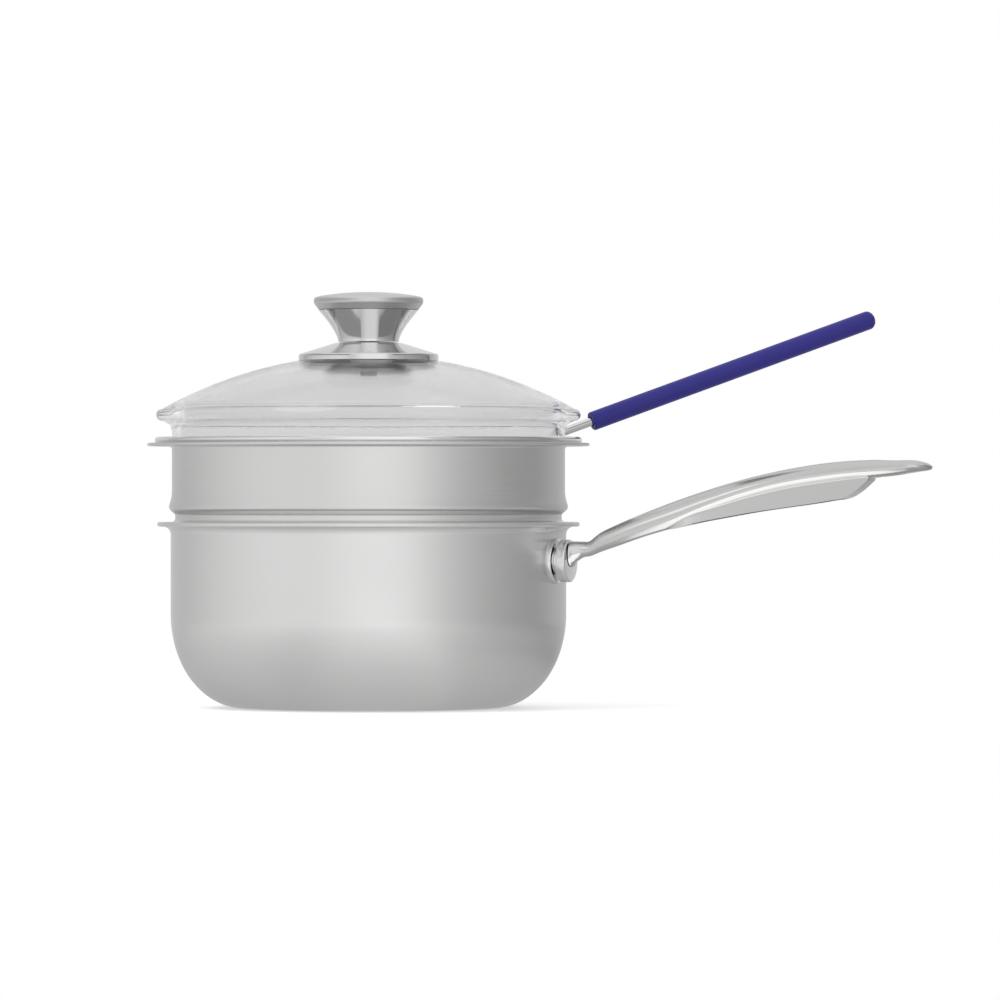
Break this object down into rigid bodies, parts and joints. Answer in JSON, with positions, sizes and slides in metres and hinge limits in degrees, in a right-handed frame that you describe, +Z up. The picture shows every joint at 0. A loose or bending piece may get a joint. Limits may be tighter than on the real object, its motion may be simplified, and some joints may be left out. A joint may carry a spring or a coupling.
{
  "type": "saucepan",
  "caption": "Steel saucepan with a flared lip and cast handle, stacked with a perforated steamer, a mesh frying basket on a sleeved rod and a domed glass lid with a flared knob.",
  "frame": {"origin": "centre of the pan's flat base, on the surface it stands on", "axes": "+Z up along the axis that all the stacked vessels share, +X along the pan handle away from the pan"},
  "size_m": [0.4127, 0.2938, 0.2127],
  "materials": {
    "satin_steel": "satin, fine lines round the wall",
    "polished_steel": "mirror polished",
    "cast_steel": "fine satin casting",
    "mesh_steel": "bright drawn wire",
    "clear_glass": "clear pressed glass",
    "blue_sleeve": "smooth satin silicone",
    "grey_seal": "matt silicone"
  },
  "bodies": {
    "pan": {"pan_body": "satin_steel", "handle_pad": "polished_steel", "handle_boss": "polished_steel", "handle": "cast_steel"},
    "steamer": {"steamer_body": "satin_steel"},
    "basket": {"basket_rim": "polished_steel", "basket_wall": "mesh_steel", "basket_hoop": "polished_steel", "basket_floor": "mesh_steel", "basket_rod": "polished_steel", "basket_sleeve": "blue_sleeve"},
    "lid": {"lid_glass": "clear_glass", "lid_seal_outer": "grey_seal", "knob_base": "polished_steel", "knob_body": "polished_steel", "knob_insert": "cast_steel", "knob_cap": "polished_steel", "lid_seal_inner": "grey_seal", "knob_washer": "polished_steel", "knob_screw": "cast_steel"}
  },
  "joints": [
    {"name": "steamer_lift", "type": "slide", "parent": "pan", "child": "steamer", "axis": [0, 0, 1], "range_m": [0, 0.06]},
    {"name": "basket_lift", "type": "slide", "parent": "steamer", "child": "basket", "axis": [0, 0, 1], "range_m": [0, 0.08]},
    {"name": "lid_lift", "type": "slide", "parent": "basket", "child": "lid", "axis": [0, 0, 1], "range_m": [0, 0.1]}
  ]
}
